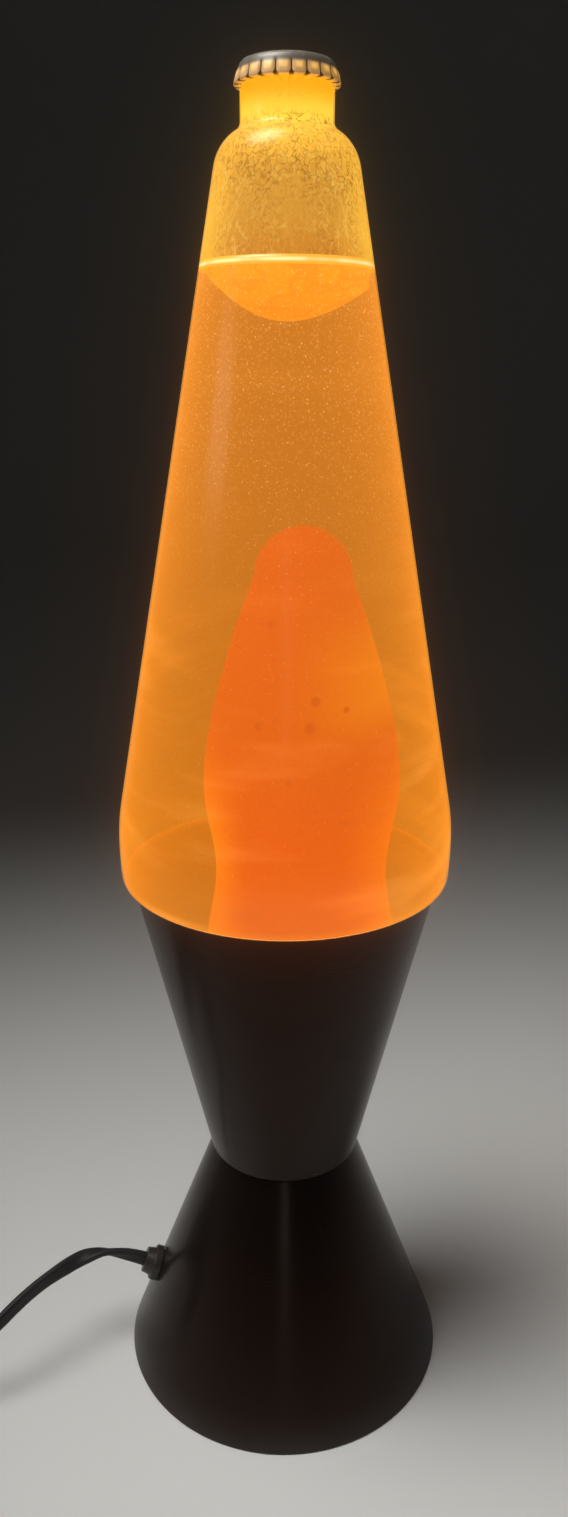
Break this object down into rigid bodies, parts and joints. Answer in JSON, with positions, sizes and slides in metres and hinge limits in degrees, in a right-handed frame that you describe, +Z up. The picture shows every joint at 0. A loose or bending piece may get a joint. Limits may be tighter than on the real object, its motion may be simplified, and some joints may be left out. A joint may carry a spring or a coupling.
{
  "type": "liquid motion lamp",
  "caption": "Liquid motion lamp: tapered glass bottle of amber liquid and orange wax with a crown cap, standing in a black hourglass base with a bulb, flat cord, in-line switch and plug.",
  "frame": {"origin": "centre of the foot's rim, on the surface that the lamp stands on", "axes": "+Z up along the bottle's axis; -Y is the front; the cord leaves the foot towards -X"},
  "size_m": [0.3346, 0.1146, 0.4252],
  "materials": {
    "clear_glass": "clear blown glass, lightly amber from its contents",
    "cap_metal": "bare tinplate, satin",
    "liner_plastic": "soft sealing liner",
    "amber_liquid": "clear amber liquid, lit from below",
    "orange_wax": "glowing orange wax",
    "float_wax": "glowing yellow-orange wax",
    "coil_wire": "drawn steel wire",
    "base_paint": "satin black paint on spun sheet",
    "rivet_metal": "plain",
    "fibre_board": "pressed fibre board",
    "bracket_steel": "zinc plated strip",
    "phenolic": "moulded phenolic",
    "shell_brass": "drawn brass",
    "screw_steel": "zinc plated",
    "frosted_glass": "inside-frosted bulb glass",
    "base_metal": "rolled aluminium",
    "black_glass": "black vitrified insulator",
    "stem_glass": "clear mount glass",
    "filament_metal": "drawn wire",
    "relief_nylon": "dark brown nylon",
    "cord_black": "ribbed flat cord jacket",
    "lead_white": "insulated lead",
    "tie_black": "flat tie",
    "case_black": "fine moulded texture",
    "wheel_black": "moulded",
    "blade_brass": "stamped brass"
  },
  "bodies": {
    "base": {"base_cup": "base_paint", "base_foot": "base_paint", "waist_rivets": "rivet_metal", "bottom_cover": "fibre_board", "socket_bracket": "bracket_steel", "socket_body": "phenolic", "socket_shell": "shell_brass", "socket_contact": "shell_brass", "socket_screws": "screw_steel", "terminal_screws": "shell_brass", "strain_relief": "relief_nylon", "lead_live": "cord_black", "lead_neutral": "lead_white", "cord_run": "cord_black", "cord_coil": "cord_black", "cord_tie": "tie_black", "switch_cover": "case_black", "switch_tray": "case_black", "switch_axle": "screw_steel", "switch_screws": "screw_steel", "switch_contacts": "shell_brass", "plug_body": "case_black", "plug_blades": "blade_brass"},
    "bottle": {"glass_bottle": "clear_glass", "crown_cap": "cap_metal", "cap_liner": "liner_plastic", "liquid_fill": "amber_liquid", "wax_column": "orange_wax", "heating_coil": "coil_wire"},
    "wax_float": {"wax_float": "float_wax"},
    "bulb": {"bulb_glass": "frosted_glass", "bulb_base": "base_metal", "bulb_insulator": "black_glass", "bulb_tip": "base_metal", "bulb_stem": "stem_glass", "bulb_filament": "filament_metal"},
    "switch_wheel": {"switch_wheel": "wheel_black"}
  },
  "joints": [
    {"name": "bottle_lift", "type": "slide", "parent": "base", "child": "bottle", "axis": [0, 0, 1], "range_m": [0, 0.06]},
    {"name": "wax_rise", "type": "slide", "parent": "bottle", "child": "wax_float", "axis": [0, 0, 1], "range_m": [-0.03, 0]},
    {"name": "bulb_unscrew", "type": "hinge", "parent": "base", "child": "bulb", "pos_m": [0, 0, 0.075], "axis": [0, 0, 1], "range_deg": [0, 1260]},
    {"name": "switch_turn", "type": "hinge", "parent": "base", "child": "switch_wheel", "pos_m": [-0.17, -0.039, 0.0087], "axis": [0, 0, 1], "continuous": true}
  ]
}
